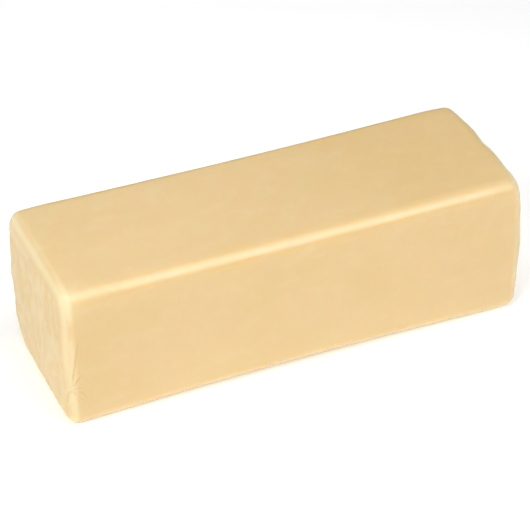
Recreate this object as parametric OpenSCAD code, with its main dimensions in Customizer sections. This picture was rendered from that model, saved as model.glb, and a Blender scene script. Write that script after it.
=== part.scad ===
// A whole deli block of mild cheddar, lying on its long side.
// One solid: a long block with rounded edges whose faces were pressed a little hollow by
// its tight wrap, with worn corners and the soft lobes and furrows that the gathered wrap
// left round both ends. +X runs along the block, -Y is its front, +Z is up, and the origin
// is at the middle of its flat base. Millimetres.

/* [Block] */
// Length from end to end
block_length = 270; // [180:1:360]
// Width from front to back
block_width = 93.7; // [66:0.1:130]
// Height
block_height = 87.5; // [62:0.1:120]
// Rounding of the four long edges
long_edge_radius = 8.4; // [5:0.1:12]
// Rounding of the edges round the two end faces
end_edge_radius = 6.9; // [4:0.1:12]

/* [Pressed faces] */
// Depth of the top's hollow at mid-length
top_dish = 1.2; // [0:0.1:2.5]
// Depth of the back's hollow at mid-length
back_dish = 0.7; // [0:0.1:2.5]
// Depth of the front's hollow at mid-length, along its upper edge
front_dish_top = 0.2; // [0:0.1:2.5]
// Depth of the front's hollow at mid-length, along its foot
front_dish_foot = 1.6; // [0:0.1:2.5]
// Lift of the base's two long edges off the table at mid-length
foot_lift = 2.3; // [0:0.1:3]
// Width of the strip along the base that stays flat on the table
base_flat_width = 47; // [30:1:60]
// Bulge of the left end face
left_crown = 0.8; // [0:0.1:2.5]
// Bulge of the right end face
right_crown = 1.2; // [0:0.1:2.5]

/* [Worn corners] */
// How far from a corner its wear reaches
corner_reach = 12; // [8:1:16]
// Wear of the right end's upper front corner
wear_right_top_front = 2.5; // [0:0.1:3.5]
// Wear of the right end's upper back corner
wear_right_top_back = 1.2; // [0:0.1:3.5]
// Wear of the right end's lower front corner
wear_right_foot_front = 1.1; // [0:0.1:3.5]
// Wear of the right end's lower back corner
wear_right_foot_back = 1.6; // [0:0.1:3.5]
// Wear of the left end's upper front corner
wear_left_top_front = 1.1; // [0:0.1:3.5]
// Wear of the left end's upper back corner
wear_left_top_back = 1; // [0:0.1:3.5]
// Wear of the left end's lower front corner
wear_left_foot_front = 0.6; // [0:0.1:3.5]
// Wear of the left end's lower back corner
wear_left_foot_back = 3.2; // [0:0.1:3.5]

/* [Mesh] */
// Facets along each side of the section
side_steps = 17; // [8:1:18]
// Facets round each rounded edge
edge_steps = 4; // [3:1:5]
// Rings across each end face
face_steps = 9; // [4:1:10]
// Rings along the body
body_steps = 24; // [12:1:26]

/* [Hidden] */

LEFT = -1;
RIGHT = 1;
FRONT = -1;
BACK = 1;
FOOT = 0;
TOP = 1;

cheese_colour = [0.87, 0.70, 0.42];

// Share of the stations' spacing that crowds towards the two ends
end_crowding = 0.7;

radii = [end_edge_radius, long_edge_radius, long_edge_radius];
size = [block_length, block_width, block_height];
// Half sizes of the inner box that the rounded edges stand out from
core_half = size / 2 - radii;

// [end, front or back, foot or top, depth]
corner_wear = [
    [RIGHT, FRONT, TOP, wear_right_top_front],
    [RIGHT, BACK, TOP, wear_right_top_back],
    [RIGHT, FRONT, FOOT, wear_right_foot_front],
    [RIGHT, BACK, FOOT, wear_right_foot_back],
    [LEFT, FRONT, TOP, wear_left_top_front],
    [LEFT, BACK, TOP, wear_left_top_back],
    [LEFT, FRONT, FOOT, wear_left_foot_front],
    [LEFT, BACK, FOOT, wear_left_foot_back]
];

// Lobes (raised) and furrows (sunk) that the gathered wrap pressed into the two ends:
// [end, place across the end from FRONT to BACK, place up it from FOOT to TOP, reach, height]
end_lobes = [
    [RIGHT, 0.34, TOP, 8, 0.55],
    [RIGHT, 0.04, TOP, 5, -0.8],
    [RIGHT, -0.26, TOP, 6, 0.3],
    [RIGHT, -0.55, TOP, 5, -0.95],
    [RIGHT, FRONT, 0.86, 10, 0.4],
    [RIGHT, FRONT, 0.53, 14, 1],
    [RIGHT, BACK, 0.62, 12, 0.7],
    [RIGHT, BACK, 0.34, 7, -0.8],
    [RIGHT, 0.3, FOOT, 8, -0.7],
    [RIGHT, -0.2, 0.5, 16, -0.6],
    [LEFT, BACK, 0.59, 14, 0.8],
    [LEFT, BACK, 0.11, 14, 0.4],
    [LEFT, 0.1, 0.62, 16, -0.6],
    [LEFT, -0.35, 0.3, 12, 0.4]
];

function mix(a, b, share) = a + (b - a) * share;
function eased(share) = let (s = min(1, max(0, share))) s * s * (3 - 2 * s);
// A soft round hill, 1 at its middle, that has all but died out at twice its reach
function hill(point, middle, reach) =
    let (away = norm(point - middle) / reach) exp(-away * away);
// The place on an end's rim or face from its position across and up that end
function end_place(end, across, up) =
    [end * size.x / 2, across * size.y / 2, up * size.z];

// Hollow of the long faces: 1 at mid-length and 0 at the ends
function sag(x) = max(0, 1 - pow(x / (size.x / 2), 2));

function front_dish(point) = mix(front_dish_foot, front_dish_top, point.z / size.z);

// 0 over the base's flat strip, rising to 1 at the base's long edges
function beside_flat(point) =
    let (flat_half = base_flat_width / 2) eased((abs(point.y) - flat_half) / (size.y / 2 - flat_half));

function pressing(point, way) =
    sag(point.x) * (
        front_dish(point) * max(0, -way.y)
        + back_dish * max(0, way.y)
        + top_dish * max(0, way.z)
        + foot_lift * max(0, -way.z)
    );

function crown(point, way) =
    (way.x < 0 ? left_crown : right_crown) * abs(way.x)
    * max(0, 1 - pow(2 * point.y / size.y, 2))
    * max(0, 1 - pow(2 * point.z / size.z - 1, 2));

function sum(values, i = 0) = i < len(values) ? values[i] + sum(values, i + 1) : 0;

function wear(point) =
    sum([for (c = corner_wear) c[3] * hill(point, end_place(c[0], c[1], c[2]), corner_reach)]);

function lobes(point) =
    sum([for (l = end_lobes) l[4] * hill(point, end_place(l[0], l[1], l[2]), l[3])]);

// Height of the real surface over the plain rounded block, along the surface's own direction.
// It stays 0 over the base's flat strip.
function relief(point, way) =
    (crown(point, way) + lobes(point) - pressing(point, way) - wear(point))
    * mix(1, beside_flat(point), max(0, -way.z));

// One loop round the block's section, as [place on the inner box's outline, direction]
corner_signs = [[1, 1], [-1, 1], [-1, -1], [1, -1]];
section = [
    for (k = [0:3]) each concat(
        [for (i = [0:edge_steps - 1]) [corner_signs[k], 90 * (k + i / edge_steps)]],
        [for (i = [0:side_steps - 1])
            [mix(corner_signs[k], corner_signs[(k + 1) % 4], i / side_steps), 90 * (k + 1)]]
    )
];

// Places along the body, from -1 to 1, closer together towards the ends
function station(i) =
    let (t = 2 * i / body_steps - 1) mix(t, sin(90 * t), end_crowding);

// The loops from the left end's middle to the right end's:
// [place along the inner box, tilt of the surface towards the end, size of the loop]
loops = concat(
    [for (i = [1:face_steps - 1]) [LEFT, -90, i / face_steps]],
    [for (i = [0:edge_steps - 1]) [LEFT, -90 + 90 * i / edge_steps, 1]],
    [for (i = [0:body_steps]) [station(i), 0, 1]],
    [for (i = [1:edge_steps]) [RIGHT, 90 * i / edge_steps, 1]],
    [for (i = [1:face_steps - 1]) [RIGHT, 90, 1 - i / face_steps]]
);

// A point of the skin, where a loop meets a place on the section
function skin_point(loop, place, angle) =
    let (
        core = [
            loop[0] * core_half.x,
            loop[2] * place.x * core_half.y,
            loop[2] * place.y * core_half.z + size.z / 2
        ],
        way = [sin(loop[1]), cos(loop[1]) * cos(angle), cos(loop[1]) * sin(angle)],
        plain = [for (i = [0:2]) core[i] + radii[i] * way[i]]
    )
    plain + way * relief(plain, way);

// Number of points in one quarter of a loop: a rounded edge and the side after it
quarter = edge_steps + side_steps;
around = len(section);

// A loop's place in the list of points. On an end face, where the loops have square corners,
// all the points of a corner are the one that starts the next side.
function corner_joined(turn) = turn - turn % quarter + max(turn % quarter, edge_steps);
function at(i, turn) =
    let (j = turn % around) 1 + i * around + (abs(loops[i][1]) == 90 ? corner_joined(j) : j);

function is_triangle(f) = f[0] != f[1] && f[1] != f[2] && f[2] != f[0];

module cheddar_block() {
    left_middle = 0;
    last = len(loops) - 1;
    right_middle = 1 + len(loops) * around;
    points = concat(
        [skin_point([LEFT, -90, 0], [0, 0], 0)],
        [for (loop = loops, s = section) skin_point(loop, s[0], s[1])],
        [skin_point([RIGHT, 90, 0], [0, 0], 0)]
    );
    left_fan = [for (j = [0:around - 1]) [left_middle, at(0, j), at(0, j + 1)]];
    right_fan = [for (j = [0:around - 1]) [right_middle, at(last, j + 1), at(last, j)]];
    skin = [
        for (i = [0:last - 1], j = [0:around - 1]) each [
            [at(i, j), at(i + 1, j), at(i + 1, j + 1)],
            [at(i, j), at(i + 1, j + 1), at(i, j + 1)]
        ]
    ];
    faces = [for (f = concat(left_fan, skin, right_fan)) if (is_triangle(f)) f];
    color(cheese_colour) polyhedron(points = points, faces = faces, convexity = 4);
}

cheddar_block();
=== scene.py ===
"""A whole deli block of cheddar on a plain pale floor.

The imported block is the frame. A finer mesh of the same form stands for it, and adds what the
tight wrap left in the cheese: a fold line under each end's upper rim, gathers across both ends,
nicks in the right end's rim, and creases at the corners. Sizes are in millimetres, as in the
part's own source, and become metres when a mesh or an object is made.
"""
import itertools
import math

import bpy
import numpy as np
from mathutils import Matrix, Vector


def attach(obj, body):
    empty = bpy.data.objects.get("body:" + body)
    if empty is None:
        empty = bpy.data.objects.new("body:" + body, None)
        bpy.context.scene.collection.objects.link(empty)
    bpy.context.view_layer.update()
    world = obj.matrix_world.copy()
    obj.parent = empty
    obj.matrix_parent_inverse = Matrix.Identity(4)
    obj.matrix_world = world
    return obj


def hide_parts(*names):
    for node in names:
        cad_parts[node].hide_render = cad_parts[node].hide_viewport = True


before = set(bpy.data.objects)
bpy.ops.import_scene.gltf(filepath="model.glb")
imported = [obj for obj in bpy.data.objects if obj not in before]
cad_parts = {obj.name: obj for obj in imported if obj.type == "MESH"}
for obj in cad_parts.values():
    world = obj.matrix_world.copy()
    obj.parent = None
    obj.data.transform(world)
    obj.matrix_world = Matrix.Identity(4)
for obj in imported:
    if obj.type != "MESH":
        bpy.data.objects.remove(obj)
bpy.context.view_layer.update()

MM = 0.001

# The block, as in the part's source
BLOCK = np.array([270.0, 93.7, 87.5])
EDGE_RADII = np.array([6.9, 8.4, 8.4])
TOP_DISH = 1.2
BACK_DISH = 0.7
FRONT_DISH_TOP = 0.2
FRONT_DISH_FOOT = 1.6
FOOT_LIFT = 2.3
BASE_FLAT_WIDTH = 47.0
LEFT_CROWN = 0.8
RIGHT_CROWN = 1.2
CORNER_REACH = 12.0

LEFT, RIGHT = -1, 1
FRONT, BACK = -1, 1
FOOT, TOP = 0, 1

# Worn corners: end, front or back, foot or top, depth
CORNER_WEAR = [
    (RIGHT, FRONT, TOP, 2.5),
    (RIGHT, BACK, TOP, 1.2),
    (RIGHT, FRONT, FOOT, 1.1),
    (RIGHT, BACK, FOOT, 1.6),
    (LEFT, FRONT, TOP, 1.1),
    (LEFT, BACK, TOP, 1.0),
    (LEFT, FRONT, FOOT, 0.6),
    (LEFT, BACK, FOOT, 3.2),
]

# Lobes and furrows round the ends: end, place across it, place up it, reach, height
END_LOBES = [
    (RIGHT, 0.34, TOP, 8, 0.55),
    (RIGHT, 0.04, TOP, 5, -0.8),
    (RIGHT, -0.26, TOP, 6, 0.3),
    (RIGHT, -0.55, TOP, 5, -0.95),
    (RIGHT, FRONT, 0.86, 10, 0.4),
    (RIGHT, FRONT, 0.53, 14, 1.0),
    (RIGHT, BACK, 0.62, 12, 0.7),
    (RIGHT, BACK, 0.34, 7, -0.8),
    (RIGHT, 0.3, FOOT, 8, -0.7),
    (RIGHT, -0.2, 0.5, 16, -0.6),
    (LEFT, BACK, 0.59, 14, 0.8),
    (LEFT, BACK, 0.11, 14, 0.4),
    (LEFT, 0.1, 0.62, 16, -0.6),
    (LEFT, -0.35, 0.3, 12, 0.4),
]


# ---------------------------------------------------------------- small maths

def eased(share):
    share = np.clip(share, 0.0, 1.0)
    return share * share * (3 - 2 * share)


def ramp(value, start, length):
    """0 up to the start, and from there a smooth rise to 1 over the length."""
    return eased((value - start) / length)


def bell(distance, width):
    return np.exp(-(distance / width) ** 2)


def hill(points, middle, reach):
    """A soft round hill, 1 at its middle, that has all but died out at twice its reach."""
    return bell(np.linalg.norm(points - middle, axis=1), reach)


def end_place(end, across, up):
    """The place on an end's rim or face, from its position across and up that end."""
    return np.array([end * BLOCK[0] / 2, across * BLOCK[1] / 2, up * BLOCK[2]])


def soft_noise(places, seed, cells=24):
    """Smooth noise between -1 and 1, about one bump to a unit, the same for the same seed."""
    lattice = np.random.default_rng(seed).uniform(-1, 1, (cells, cells, cells))
    corner = np.floor(places).astype(int)
    share = eased(places - corner)
    total = np.zeros(len(places))
    for step in itertools.product((0, 1), repeat=3):
        weight = np.prod(np.where(step, share, 1 - share), axis=1)
        total += weight * lattice[tuple(((corner + step) % cells).T)]
    return total


def smooth_path(stops, spacing=0.4):
    """Points along a smooth curve through the stops (Catmull-Rom)."""
    stops = np.array(stops, dtype=float)
    padded = np.vstack([2 * stops[0] - stops[1], stops, 2 * stops[-1] - stops[-2]])
    parts = []
    for p0, p1, p2, p3 in zip(padded, padded[1:], padded[2:], padded[3:]):
        count = max(2, int(np.linalg.norm(p2 - p1) / spacing))
        t = np.linspace(0, 1, count, endpoint=False)[:, None]
        curve = 2 * p1 + (p2 - p0) * t + (2 * p0 - 5 * p1 + 4 * p2 - p3) * t ** 2
        parts.append((curve + (3 * p1 - p0 - 3 * p2 + p3) * t ** 3) / 2)
    return np.vstack(parts + [stops[-1:]])


def nearest_on_path(points, path):
    """Distance from each point to the path, and which of the path's points is nearest."""
    distance = np.full(len(points), np.inf)
    nearest = np.zeros(len(points), dtype=int)
    for i, place in enumerate(path):
        away = np.linalg.norm(points - place, axis=1)
        closer = away < distance
        distance[closer] = away[closer]
        nearest[closer] = i
    return distance, nearest


# ---------------------------------------------------------------- the block's form

def block_relief(points, ways):
    """Height of the block's form over the plain rounded block, as in the part's source."""
    x, y, z = points.T
    length, width, height = BLOCK
    sag = np.clip(1 - (2 * x / length) ** 2, 0, None)
    front_dish = FRONT_DISH_FOOT + (FRONT_DISH_TOP - FRONT_DISH_FOOT) * z / height
    front, back = np.clip(-ways[:, 1], 0, None), np.clip(ways[:, 1], 0, None)
    down, up = np.clip(-ways[:, 2], 0, None), np.clip(ways[:, 2], 0, None)
    pressing = sag * (front_dish * front + BACK_DISH * back + TOP_DISH * up + FOOT_LIFT * down)
    across = np.clip(1 - (2 * y / width) ** 2, 0, None)
    upright = np.clip(1 - (2 * z / height - 1) ** 2, 0, None)
    crown = np.where(ways[:, 0] < 0, LEFT_CROWN, RIGHT_CROWN) * np.abs(ways[:, 0]) * across * upright
    wear = sum(
        depth * hill(points, end_place(end, side, level), CORNER_REACH)
        for end, side, level, depth in CORNER_WEAR
    )
    lobes = sum(
        height * hill(points, end_place(end, side, level), reach)
        for end, side, level, reach, height in END_LOBES
    )
    flat_half = BASE_FLAT_WIDTH / 2
    beside_flat = eased((np.abs(y) - flat_half) / (width / 2 - flat_half))
    return (crown + lobes - pressing - wear) * (1 - down * (1 - beside_flat))


# ---------------------------------------------------------------- what the wrap left

# Lower edge of the taut band under each end's upper rim: stops as (y, z), from front to back
FOLD_LINES = {
    LEFT: [(-44.2, 62), (-44.1, 68), (-41.6, 75), (-37, 80.6), (-28.5, 83.6), (-17, 84.2),
           (-7, 80.8), (4.6, 77.6), (12, 75.4), (20, 74.6), (32, 73.2), (39, 75.5), (44.5, 73)],
    RIGHT: [(-44, 52), (-43, 66), (-38, 76), (-27, 80), (-14, 78), (-2, 81.5), (10, 79.5),
            (22, 82), (33, 80), (41, 75), (44, 64), (44.3, 50)],
}
# A point belongs to an end where the surface turns towards it by more than this
END_FACING = 0.02
# The skin stands up just above the fold line and is sunk just below it: height and width
FOLD_RISE = 0.18
FOLD_RISE_WIDTH = 6.0
FOLD_SINK = 0.26
FOLD_SINK_WIDTH = 3.0
# Width of the step from one to the other, and of the painted shade line along it
FOLD_STEP_WIDTH = 1.5
FOLD_LINE_WIDTH = 0.9
# Points of the fold line's path over which it fades in at both of its ends
FOLD_FADE_POINTS = 12

# The soft noises that the gathers are made of: bump size across and up the end, layer, seed
WANDER = (9, 12, 5.5, 51)
COLUMNS = (5, 11, 0, 11)
LUMPS = (3.8, 5.2, 0, 21)
DENTS = (12, 11, 0, 31)
VEINS = (6, 12, 2.5, 61)
COLUMN_HEIGHT = 0.11
LUMP_HEIGHT = 0.26
DENT_HEIGHT = 0.12
WRINKLE_HEIGHT = 0.22
# A wrinkle runs where the veins' noise is nearer to 0 than this
WRINKLE_HALF_WIDTH = 0.2
# The gathers lean by this much for each millimetre up the end, and wander by this many
GATHER_LEAN = 0.2
GATHER_WANDER = 3.0
# The gathers come in over this distance below the fold line
GATHER_FADE = 2.5
# How strongly each end is gathered
GATHER_DEPTH = {LEFT: 1.0, RIGHT: 0.55}

# Paleness of the taut band above the fold line, partly the skin drawn tight over the rim and partly a
# painted highlight along it. It begins at a distance from the line, comes up over another, and comes
# up as the surface turns towards the end.
TAUT_PALE_AND_HIGHLIGHT = 0.65
TAUT_START = 0.3
TAUT_RISE = 4.0
TAUT_FACING = 0.4
# The band keeps this share of its paleness except towards the front. There it rises to the
# whole, from a distance in front of the middle, over a further distance.
TAUT_SHARE = 0.5
TAUT_FRONT_START = 10
TAUT_FRONT_RISE = 22
# Paleness of the gathered skin: everywhere, and more on its lumps and wrinkles
GATHER_PALE = 0.05
LUMP_PALE = 0.18
WRINKLE_PALE = 0.12
# Deeper colour of the gathered skin, partly its own tone and partly painted shade: everywhere, and
# less on its columns and lumps
SLACK_AND_SHADE = 0.55
COLUMN_TAUT = 0.15
LUMP_TAUT = 0.4
# Share of that deeper colour at the foot of the end, and the height where it is whole: painted shade,
# strongest high up where the end's grazing reflection is brightest
SHADE_AT_FOOT = 0.35
SHADE_HEIGHT = 80
# The flat of an end has at least this much of the deeper colour, as painted shade that tones down the
# end's grazing reflection. The surface starts to count as flat once it faces the end by the second
# number, and fully does by the third more.
FLAT_END_SHADE = 0.45
FLAT_START = 0.85
FLAT_RISE = 0.15

# Creases that gather at the corners: stops as (from the end, z), then depth and width
FRONT_CREASES = {
    LEFT: [
        ([(8.6, 62), (7.5, 57), (6.3, 50.7), (5.0, 42.3), (3.6, 33), (3.3, 27)], 0.50, 0.5),
        ([(3.6, 28), (5.2, 32), (8.6, 36.5)], 0.40, 0.6),
        ([(3.4, 26.8), (6.0, 28.0), (9.0, 27.0)], 0.30, 0.6),
        ([(3.6, 26), (5.2, 22), (6.4, 18.6)], 0.50, 0.55),
        ([(5.2, 25), (6.8, 21.8), (8.6, 18.8)], 0.45, 0.55),
        ([(5.0, 26.4), (8.4, 24.2), (11, 19.5)], 0.22, 0.7),
        ([(3.2, 27), (1.6, 23.6), (0.8, 17)], 0.30, 0.7),
    ],
    RIGHT: [
        ([(3.0, 52), (3.6, 40), (4.0, 30)], 0.22, 1.2),
        ([(4.0, 30), (6.5, 26), (9.0, 21)], 0.15, 1.0),
    ],
}
BACK_CREASES = {
    LEFT: [
        ([(3.0, 48), (3.4, 38), (4.0, 30), (5.0, 22)], 0.35, 1.0),
        ([(4.2, 30), (7.5, 35), (11, 37)], 0.22, 0.8),
        ([(4.4, 27), (8, 24), (12, 18)], 0.26, 0.8),
    ],
    RIGHT: [
        ([(4.0, 66), (3.4, 55), (4.2, 45), (3.6, 36)], 0.40, 0.9),
        ([(3.8, 44), (7.0, 49), (10, 50)], 0.25, 0.7),
        ([(3.8, 41), (7.5, 37), (9.5, 31)], 0.30, 0.8),
    ],
}

# A crease fades in and out over these shares of its length
CREASE_FADE_IN = 0.25
CREASE_FADE_OUT = 0.15
# Depth of its groove and height of its lips, as shares of the crease's depth
GROOVE_SHARE = 0.9
OUTER_LIP_SHARE = 0.85
INNER_LIP_SHARE = 0.35
# Distance from the groove to a lip, in widths of the crease
LIP_AWAY = 2.2
# Points farther than this from a crease's middle are left alone
CREASE_REACH = 30
# Depth of a crease at which its painted shade and highlight are whole
CREASE_SHADING_DEPTH = 0.5


def place_on_side(end, side, from_end, z):
    """A point of the front or back, where the rounded edge of the end runs into it."""
    reach = EDGE_RADII[0]
    share = max(0.0, 1 - from_end / reach)
    inset = EDGE_RADII[1] * (1 - math.sqrt(1 - min(1.0, share) ** 2))
    return np.array([end * (BLOCK[0] / 2 - from_end), side * (BLOCK[1] / 2 - inset), z])


def crease(points, path, width):
    """A groove along the path, with a lip on each side, the higher one outwards.

    Outwards is towards the block's end. The crease dies out at both of its own ends.
    """
    distance, nearest = nearest_on_path(points, path)
    share = nearest / (len(path) - 1)
    strength = eased(share / CREASE_FADE_IN) * eased((1 - share) / CREASE_FADE_OUT)
    outward = np.abs(points[:, 0]) > np.abs(path[nearest, 0])
    lip_height = np.where(outward, OUTER_LIP_SHARE, INNER_LIP_SHARE)
    lips = lip_height * bell(distance - LIP_AWAY * width, width)
    return strength * (lips - GROOVE_SHARE * bell(distance, width))


def corner_creases(points):
    """Relief of the creases at the corners, and their painted shading: painted shade below 0 in a
    groove, painted highlight above 0 on a lip.
    """
    relief, crease_shading = np.zeros(len(points)), np.zeros(len(points))
    for side, creases_at in ((FRONT, FRONT_CREASES), (BACK, BACK_CREASES)):
        for end, creases in creases_at.items():
            for stops, depth, width in creases:
                path = smooth_path([place_on_side(end, side, *stop) for stop in stops])
                near = np.abs(points - path.mean(axis=0)).max(axis=1) < CREASE_REACH
                shape = crease(points[near], path, width)
                relief[near] += depth * shape
                # The tint is painted: painted shade in the groove, painted highlight on the lips
                crease_shading[near] += depth / CREASE_SHADING_DEPTH * shape
    return relief, crease_shading


def end_noise(end, across, up, noise):
    """One of the gathers' noises at places across and up an end."""
    size_across, size_up, layer, seed = noise
    layers = np.full(len(up), float(layer))
    return soft_noise(np.column_stack([across / size_across, up / size_up, layers]), seed + end)


def make_gathers(end, y, z):
    """Height of an end's wandering upright gathers, and their columns, lumps and wrinkles."""
    lean = y + GATHER_LEAN * z + GATHER_WANDER * end_noise(end, y, z, WANDER)
    columns = end_noise(end, lean, z, COLUMNS)
    lumps = end_noise(end, lean, z, LUMPS)
    dents = end_noise(end, y, z, DENTS)
    veins = end_noise(end, lean, z, VEINS)
    wrinkles = 1 - np.clip(np.abs(veins) / WRINKLE_HALF_WIDTH, 0, 1)
    height = COLUMN_HEIGHT * columns + LUMP_HEIGHT * lumps
    height = height + DENT_HEIGHT * dents + WRINKLE_HEIGHT * wrinkles
    return height, columns, lumps, wrinkles


def about_fold_line(spots, stops):
    """Distance of places on an end from its fold line, above it, below it, and its strength."""
    path = smooth_path(stops)
    distance, nearest = nearest_on_path(spots, path)
    along = np.gradient(path, axis=0)[nearest]
    offset = spots - path[nearest]
    outside = np.sign(along[:, 0] * offset[:, 1] - along[:, 1] * offset[:, 0])
    above = np.clip(outside * distance, 0, None)
    below = np.clip(-outside * distance, 0, None)
    to_last = len(path) - 1 - nearest
    strength = eased(nearest / FOLD_FADE_POINTS) * eased(to_last / FOLD_FADE_POINTS)
    return distance, above, below, strength


def end_skin(points, ways):
    """Relief of both end faces, their paleness with painted highlight, their gathered tone with
    painted shade, and the painted shade along the fold line.

    Above the fold line the skin is taut over the rim. Below it the skin steps in and is
    gathered into wandering upright folds.
    """
    relief, pale_and_highlight, gathered, fold_shade = (np.zeros(len(points)) for _ in range(4))
    for end, stops in FOLD_LINES.items():
        near = end * ways[:, 0] > END_FACING
        facing = np.clip(end * ways[near, 0], 0, 1)
        y, z = points[near, 1], points[near, 2]
        distance, above, below, strength = about_fold_line(points[near, 1:], stops)
        height, columns, lumps, wrinkles = make_gathers(end, y, z)

        band = eased((above - below) / FOLD_STEP_WIDTH + 0.5)
        lap = FOLD_RISE * band * bell(above, FOLD_RISE_WIDTH)
        lap -= FOLD_SINK * (1 - band) * bell(below, FOLD_SINK_WIDTH)
        inside = eased(below / GATHER_FADE) * facing ** 2
        relief[near] = lap * strength * facing ** 0.5 + GATHER_DEPTH[end] * height * inside

        share = TAUT_SHARE + (1 - TAUT_SHARE) * ramp(-y, TAUT_FRONT_START, TAUT_FRONT_RISE)
        taut = share * ramp(above, TAUT_START, TAUT_RISE) * eased(facing / TAUT_FACING)
        gather_pale = GATHER_PALE + LUMP_PALE * lumps + WRINKLE_PALE * wrinkles
        pale_and_highlight[near] = np.maximum(TAUT_PALE_AND_HIGHLIGHT * taut, inside * np.clip(gather_pale, 0, 1))

        # Painted shade on the gathered skin, stronger higher up the end
        shade_by_height = SHADE_AT_FOOT + (1 - SHADE_AT_FOOT) * eased(z / SHADE_HEIGHT)
        slack_and_shade = inside * shade_by_height * np.clip(SLACK_AND_SHADE - COLUMN_TAUT * columns - LUMP_TAUT * lumps, 0, 1)
        gathered[near] = np.maximum(slack_and_shade, FLAT_END_SHADE * ramp(facing, FLAT_START, FLAT_RISE))
        # A painted shade line along the fold's step
        fold_shade[near] = strength * facing ** 2 * bell(distance, FOLD_LINE_WIDTH)
    return relief, pale_and_highlight, gathered, fold_shade


# Sharp nicks in the right end's upper rim: place across the end, reach, depth
RIM_NICKS = [(0.05, 2.4, 0.5), (-0.56, 2.4, 0.55)]


def rim_nicks(points):
    return -sum(
        depth * hill(points, end_place(RIGHT, across, TOP), reach)
        for across, reach, depth in RIM_NICKS
    )


# The faint unevenness all over the block: bump size along, across and up, shift, seed, height
SKIN_WAVES = [
    ((46, 30, 28), 3.3, 41, 0.08),
    ((17, 12, 11), 7.7, 42, 0.05),
    ((7, 5, 5), 1.9, 43, 0.02),
]


def skin_waves(points):
    return sum(
        height * soft_noise(points / size + shift, seed)
        for size, shift, seed, height in SKIN_WAVES
    )


# ---------------------------------------------------------------- the mesh

# Spacing of the mesh's lines. Along the block it widens away from both ends, and the steps
# are finest at the left end, which has the sharpest creases.
LEFT_SPACING = 0.5
RIGHT_SPACING = 0.8
LEAST_SPACING = 0.55
MOST_SPACING = 4.0
# Distance from an end over which the spacing widens by a millimetre
WIDENING = 22
ACROSS_SPACING = 0.75
# Up the block it is fine as far as the creases at the corners reach, and then widens
FOOT_SPACING = 0.6
TOP_SPACING = 1.1
FINE_HEIGHT = 26
UP_WIDENING = 20
# Steps over half of each rounded edge
EDGE_STEPS = 7


def graded_lines(low, high, spacing, samples=4001):
    """Places from low to high, as far apart as spacing(place) says."""
    places = np.linspace(low, high, samples)
    steps = np.cumsum(np.gradient(places) / spacing(places))
    steps -= steps[0]
    count = int(np.ceil(steps[-1]))
    return np.interp(np.linspace(0, steps[-1], count + 1), steps, places)


def rounded_lines(axis, core_lines):
    """Lines across one side of the block: its flat part, and both rounded edges."""
    turn = np.tan(np.radians(np.linspace(0, 45, EDGE_STEPS + 1)[1:]))
    before = core_lines[0] - EDGE_RADII[axis] * turn[::-1]
    after = core_lines[-1] + EDGE_RADII[axis] * turn
    return np.concatenate([before, core_lines, after])


def block_grid():
    """The points, outward ways and quads of a closed box grid with rounded edges."""
    half = BLOCK / 2
    core = half - EDGE_RADII

    def along(x):
        from_left = LEFT_SPACING + (x + core[0]) / WIDENING
        from_right = RIGHT_SPACING + (core[0] - x) / WIDENING
        return np.clip(np.minimum(from_left, from_right), LEAST_SPACING, MOST_SPACING)

    def across(y):
        return np.full_like(y, ACROSS_SPACING)

    def upright(z):
        spacing = FOOT_SPACING + (z + core[2] - FINE_HEIGHT) / UP_WIDENING
        return np.clip(spacing, FOOT_SPACING, TOP_SPACING)

    lines = [
        rounded_lines(axis, graded_lines(-core[axis], core[axis], spacing))
        for axis, spacing in enumerate((along, across, upright))
    ]
    counts = [len(line) for line in lines]
    index = np.full(counts, -1, dtype=np.int64)
    shell = np.zeros(counts, dtype=bool)
    for axis in range(3):
        for end in (0, -1):
            face = [slice(None)] * 3
            face[axis] = end
            shell[tuple(face)] = True
    places = np.argwhere(shell)
    index[tuple(places.T)] = np.arange(len(places))
    box = np.column_stack([lines[axis][places[:, axis]] for axis in range(3)])
    inner = np.clip(box, -core, core)
    ways = (box - inner) / EDGE_RADII
    ways /= np.linalg.norm(ways, axis=1, keepdims=True)
    points = inner + EDGE_RADII * ways + [0, 0, half[2]]
    quads = []
    for axis in range(3):
        for end in (0, -1):
            face = [slice(None)] * 3
            face[axis] = end
            sheet = index[tuple(face)]
            quad = np.stack([sheet[:-1, :-1], sheet[1:, :-1], sheet[1:, 1:], sheet[:-1, 1:]], axis=-1)
            outward = (end == -1) == (axis != 1)
            quads.append((quad if outward else quad[..., ::-1]).reshape(-1, 4))
    return points, ways, np.concatenate(quads)


def mesh_object(name, points, quads):
    mesh = bpy.data.meshes.new(name)
    mesh.from_pydata((points * MM).tolist(), [], quads.tolist())
    mesh.shade_smooth()
    mesh.update()
    piece = bpy.data.objects.new(name, mesh)
    bpy.context.scene.collection.objects.link(piece)
    return piece


def add_attribute(piece, name, values):
    attribute = piece.data.attributes.new(name, "FLOAT", "POINT")
    attribute.data.foreach_set("value", np.clip(values, 0, 1))


# Paleness of the long edges and of the edges round the ends, a painted highlight and edge glow with
# some real paleness of the skin drawn tight over them, what the second lose at the foot, and the
# height above which they lose nothing
LONG_EDGE_PALE_AND_HIGHLIGHT = 0.45
END_EDGE_PALE_AND_HIGHLIGHT = 0.8
END_EDGE_LOSS = 0.65
END_EDGE_HEIGHT = 50
# Tilt towards the end, in degrees, where the painted highlight on an end's edge is strongest, and the
# spread about it
END_EDGE_TILT = 48
END_EDGE_SPREAD = 20
# Painted light along the foot, paler towards the bottom, and the height where it ends
FOOT_PAINTED_LIGHT = 0.10
FOOT_HEIGHT = 45
# Upper corners with a painted highlight: end, front or back, strength
CORNER_HIGHLIGHTS = [
    (LEFT, FRONT, 0.55),
    (LEFT, BACK, 0.2),
    (RIGHT, FRONT, 0.3),
    (RIGHT, BACK, 0.2),
]
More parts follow.
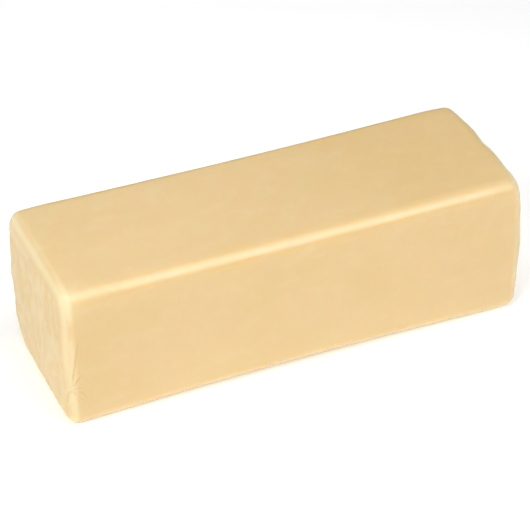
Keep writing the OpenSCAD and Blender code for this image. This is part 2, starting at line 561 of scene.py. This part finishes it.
# Painted highlight on a crease's lips, and painted shade in its groove and along the fold line
LIP_HIGHLIGHT = 0.2
GROOVE_SHADE = 0.45
FOLD_LINE_SHADE = 0.14


def edge_pale_and_highlight(points, ways):
    """How pale the rounded edges are, as a painted highlight with some paleness of the tight skin:
    the long ones, and those round the ends.
    """
    halfway = 1 - math.sqrt(0.5)
    long_edge = eased((1 - np.abs(ways).max(axis=1)) / halfway)
    tilt = np.degrees(np.arcsin(np.clip(np.abs(ways[:, 0]), 0, 1)))
    end_edge = bell(tilt - END_EDGE_TILT, END_EDGE_SPREAD)
    low = 1 - eased(points[:, 2] / END_EDGE_HEIGHT)
    return np.maximum(LONG_EDGE_PALE_AND_HIGHLIGHT * long_edge, (END_EDGE_PALE_AND_HIGHLIGHT - END_EDGE_LOSS * low) * end_edge)


def corner_highlights(points):
    # Painted highlights on the upper corners
    return sum(
        strength * hill(points, end_place(end, side, TOP), CORNER_REACH)
        for end, side, strength in CORNER_HIGHLIGHTS
    )


def make_cheese():
    """The block's mesh, with each point's paleness and painted highlight, its painted shade, and its
    gathered tone with painted shade.
    """
    points, ways, quads = block_grid()
    end_relief, end_pale, gathered, fold_shade = end_skin(points, ways)
    crease_relief, crease_shading = corner_creases(points)
    off_base = 1 - np.clip(-ways[:, 2], 0, 1)
    relief = block_relief(points, ways)
    relief += off_base * (end_relief + crease_relief + rim_nicks(points) + skin_waves(points))
    piece = mesh_object("cheese", points + ways * relief[:, None], quads)

    # Paleness: painted highlight on the edges, corners and crease lips, painted light along the foot,
    # and the skin's own paleness on the taut band and gathers
    pale_and_highlight = np.maximum(edge_pale_and_highlight(points, ways), end_pale) + LIP_HIGHLIGHT * np.clip(crease_shading, 0, None)
    # Painted light, paler towards the foot
    pale_and_highlight += FOOT_PAINTED_LIGHT * (1 - eased(points[:, 2] / FOOT_HEIGHT))
    pale_and_highlight += corner_highlights(points)
    add_attribute(piece, "pale_and_highlight", pale_and_highlight * (1 - np.clip(-crease_shading, 0, 1)))
    # Painted shade in the creases' grooves and along the fold line
    add_attribute(piece, "painted_shade", GROOVE_SHADE * np.clip(-crease_shading, 0, None) + FOLD_LINE_SHADE * fold_shade)
    add_attribute(piece, "gathered", gathered)
    return piece


# ---------------------------------------------------------------- materials

def new_material(name):
    material = bpy.data.materials.new(name)
    material.use_nodes = True
    nodes = material.node_tree.nodes
    return material, nodes, material.node_tree.links, nodes["Principled BSDF"]


def add_noise(nodes, links, size, stretch=(1, 1, 1), detail=2.0):
    """Noise fixed to the object, with bumps about size millimetres across.

    The bumps are longer along x, y and z by what stretch says.
    """
    coordinates = nodes.new("ShaderNodeTexCoord")
    mapping = nodes.new("ShaderNodeMapping")
    mapping.inputs["Scale"].default_value = [1 / (size * MM * s) for s in stretch]
    noise = nodes.new("ShaderNodeTexNoise")
    noise.inputs["Scale"].default_value = 1.0
    noise.inputs["Detail"].default_value = detail
    links.new(coordinates.outputs["Object"], mapping.inputs["Vector"])
    links.new(mapping.outputs["Vector"], noise.inputs["Vector"])
    return noise.outputs["Fac"]


def add_range(nodes, links, source, low, high, to_low, to_high):
    """The source from low to high, spread from to_low to to_high and held there beyond."""
    spread = nodes.new("ShaderNodeMapRange")
    spread.interpolation_type = "SMOOTHSTEP"
    spread.inputs["From Min"].default_value = low
    spread.inputs["From Max"].default_value = high
    spread.inputs["To Min"].default_value = to_low
    spread.inputs["To Max"].default_value = to_high
    links.new(source, spread.inputs["Value"])
    return spread.outputs["Result"]


# Places of the colour sockets among the mix node's inputs and outputs
MIX_FIRST = 6
MIX_SECOND = 7
MIX_RESULT = 2


def add_mix(nodes, links, share, first, second):
    """A blend of two colours. Each is a colour, or the output that gives it."""
    mix = nodes.new("ShaderNodeMix")
    mix.data_type = "RGBA"
    links.new(share, mix.inputs["Factor"])
    for place, colour in ((MIX_FIRST, first), (MIX_SECOND, second)):
        if isinstance(colour, tuple):
            mix.inputs[place].default_value = (*colour, 1)
        else:
            links.new(colour, mix.inputs[place])
    return mix.outputs[MIX_RESULT]


def add_stored_value(nodes, name):
    """What add_attribute stored at each point of the mesh under this name."""
    node = nodes.new("ShaderNodeAttribute")
    node.attribute_name = name
    return node.outputs["Fac"]


# The two tones of the broad patches, and the specks
CHEESE_DEEP = (0.764, 0.565, 0.275)
CHEESE_PALE = (0.776, 0.579, 0.297)
CHEESE_SPECK = (0.799, 0.611, 0.338)
# Gathered skin, its own deeper tone with painted shade; paler skin with painted highlights on edges,
# corners and lips; painted shade in creases and along the fold line
CHEESE_GATHERED_AND_SHADE = (0.765, 0.553, 0.240)
CHEESE_PALE_AND_HIGHLIGHT = (0.866, 0.753, 0.470)
CHEESE_PAINTED_SHADE = (0.700, 0.455, 0.160)

# How far light spreads inside the cheese, and the share of that for red, green and blue
SCATTER_REACH = 4
SCATTER_SHARES = (1.0, 0.6, 0.35)
# Roughness of the skin's gloss, from its smoothest to its roughest, and what gathers add to it
ROUGHNESS_LOW = 0.31
ROUGHNESS_HIGH = 0.37
ROUGHNESS_GATHERED = 0.2
SKIN_IOR = 1.5
# Ripples too fine for the mesh: bump size, height, and the share of them that shows
RIPPLE_SIZE = 3.2
RIPPLE_HEIGHT = 0.25
RIPPLE_SHARE = 0.15


def cheese_colour(nodes, links):
    """Broad patches and small specks of the cheese's own, then the gathered skin's deeper tone with
    painted shade, painted highlights on edges, corners and lips, and painted shade in creases and
    along the fold line.
    """
    broad = add_noise(nodes, links, size=26, stretch=(1.8, 1, 1), detail=3.0)
    patches = add_range(nodes, links, broad, low=0.35, high=0.65, to_low=0.0, to_high=1.0)
    colour = add_mix(nodes, links, patches, CHEESE_DEEP, CHEESE_PALE)
    curds = add_noise(nodes, links, size=9, stretch=(1.4, 1, 1), detail=2.0)
    specks = add_range(nodes, links, curds, low=0.45, high=0.80, to_low=0.0, to_high=0.6)
    colour = add_mix(nodes, links, specks, colour, CHEESE_SPECK)
    # The gathered tone carries painted shade, the pale tone painted highlights, the crease tone
    # painted shade
    tones = {"gathered": CHEESE_GATHERED_AND_SHADE, "pale_and_highlight": CHEESE_PALE_AND_HIGHLIGHT, "painted_shade": CHEESE_PAINTED_SHADE}
    for name, tone in tones.items():
        colour = add_mix(nodes, links, add_stored_value(nodes, name), colour, tone)
    return colour


def skin_roughness(nodes, links):
    """Faintly uneven roughness, with more of it where the skin is gathered."""
    gloss = add_noise(nodes, links, size=9, detail=3.0)
    rough = nodes.new("ShaderNodeMath")
    rough.operation = "MULTIPLY_ADD"
    gathered, weight, plain = rough.inputs
    weight.default_value = ROUGHNESS_GATHERED
    links.new(add_stored_value(nodes, "gathered"), gathered)
    spread = add_range(
        nodes, links, gloss, low=0.3, high=0.7, to_low=ROUGHNESS_LOW, to_high=ROUGHNESS_HIGH
    )
    links.new(spread, plain)
    return rough.outputs[0]


def skin_ripples(nodes, links):
    """Surface directions, tipped by fine ripples all over the skin."""
    ripples = add_noise(nodes, links, RIPPLE_SIZE, detail=3.0)
    bump = nodes.new("ShaderNodeBump")
    bump.inputs["Strength"].default_value = RIPPLE_SHARE
    bump.inputs["Distance"].default_value = RIPPLE_HEIGHT * MM
    links.new(ripples, bump.inputs["Height"])
    return bump.outputs["Normal"]


def cheese_material():
    """Cheddar in a tight clear skin: light scatters inside it, and its edges are paler with a painted
    highlight.
    """
    material, nodes, links, shader = new_material("cheddar")
    links.new(cheese_colour(nodes, links), shader.inputs["Base Color"])
    links.new(skin_roughness(nodes, links), shader.inputs["Roughness"])
    links.new(skin_ripples(nodes, links), shader.inputs["Normal"])
    shader.inputs["Subsurface Weight"].default_value = 1.0
    shader.inputs["Subsurface Radius"].default_value = SCATTER_SHARES
    shader.inputs["Subsurface Scale"].default_value = SCATTER_REACH * MM
    shader.inputs["IOR"].default_value = SKIN_IOR
    return material


FLOOR_GREY = 0.93
FLOOR_ROUGHNESS = 0.9
# The floor glows a little too, as a light table does
FLOOR_GLOW = 0.28


def floor_material():
    material, _, _, shader = new_material("pale_floor")
    shader.inputs["Base Color"].default_value = (FLOOR_GREY, FLOOR_GREY, FLOOR_GREY, 1)
    shader.inputs["Roughness"].default_value = FLOOR_ROUGHNESS
    shader.inputs["Emission Color"].default_value = (1, 1, 1, 1)
    shader.inputs["Emission Strength"].default_value = FLOOR_GLOW
    return material


# ---------------------------------------------------------------- stage

# The camera's direction from the block's middle and its roll, in degrees, and its distance
CAMERA_AZIMUTH = -22.5
CAMERA_ELEVATION = 35.75
CAMERA_ROLL = -0.96
CAMERA_DISTANCE = 1341.6
# How far the camera is then moved to its right and up
CAMERA_ASIDE = -1.45
CAMERA_RAISED = -3.4
CAMERA_LENS = 164.1
CAMERA_SENSOR = 36.0

# Half of the floor's side
FLOOR_HALF = 3000.0

# Softboxes round the block: name, azimuth and elevation in degrees, distance, width, height,
# power in watts
SOFTBOXES = [
    ("key", 28, 45, 1100, 500, 600, 5.35),
    ("corner", -42, 41, 1100, 200, 200, 2.8),
    ("left_high", -72, 47, 1100, 430, 430, 1.8),
    ("left_low", -90, 18, 1100, 700, 500, 2.05),
    ("back_left", -146, 10, 1100, 500, 300, 0.9),
    ("back", 180, 48, 1100, 700, 500, 1.9),
    ("overhead", 0, 80, 1100, 700, 500, 4.5),
]


def direction(azimuth, elevation):
    """The way towards an azimuth, counted from the front round to the right, and an elevation."""
    turn, rise = math.radians(azimuth), math.radians(elevation)
    return Vector((math.sin(turn) * math.cos(rise), -math.cos(turn) * math.cos(rise), math.sin(rise)))


def add_camera():
    camera = bpy.data.objects.new("camera", bpy.data.cameras.new("camera"))
    camera.data.sensor_width = CAMERA_SENSOR
    camera.data.lens = CAMERA_LENS
    back = direction(CAMERA_AZIMUTH, CAMERA_ELEVATION)
    level = Vector((0, 0, 1)).cross(back).normalized()
    roll = Matrix.Rotation(math.radians(CAMERA_ROLL), 3, back)
    right = roll @ level
    up = back.cross(right)
    middle = Vector((0, 0, BLOCK[2] / 2))
    place = middle + back * CAMERA_DISTANCE + right * CAMERA_ASIDE + up * CAMERA_RAISED
    turn = Matrix((right, up, back)).transposed()
    camera.matrix_world = Matrix.Translation(place * MM) @ turn.to_4x4()
    bpy.context.scene.collection.objects.link(camera)
    bpy.context.scene.camera = camera


def add_floor():
    corners = FLOOR_HALF * np.array([[-1, -1, 0], [1, -1, 0], [1, 1, 0], [-1, 1, 0]])
    floor = mesh_object("floor", corners, np.array([[0, 1, 2, 3]]))
    floor.data.materials.append(floor_material())


def add_softbox(name, azimuth, elevation, distance, width, height, power):
    light = bpy.data.lights.new(name, "AREA")
    light.shape = "RECTANGLE"
    light.size = width * MM
    light.size_y = height * MM
    light.energy = power
    lamp = bpy.data.objects.new(name, light)
    towards = direction(azimuth, elevation)
    lamp.location = (Vector((0, 0, BLOCK[2] / 2)) + towards * distance) * MM
    lamp.rotation_euler = towards.to_track_quat("Z", "Y").to_euler()
    bpy.context.scene.collection.objects.link(lamp)


def add_world():
    """Nothing but the softboxes and the floor lights the block."""
    world = bpy.data.worlds.new("studio")
    world.use_nodes = True
    world.node_tree.nodes["Background"].inputs["Strength"].default_value = 0.0
    bpy.context.scene.world = world


cheese = make_cheese()
cheese.data.materials.append(cheese_material())
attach(cheese, "root")
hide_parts("cheddar_block")

add_camera()
add_floor()
add_world()
for softbox in SOFTBOXES:
    add_softbox(*softbox)
bpy.context.scene.view_settings.view_transform = "Standard"
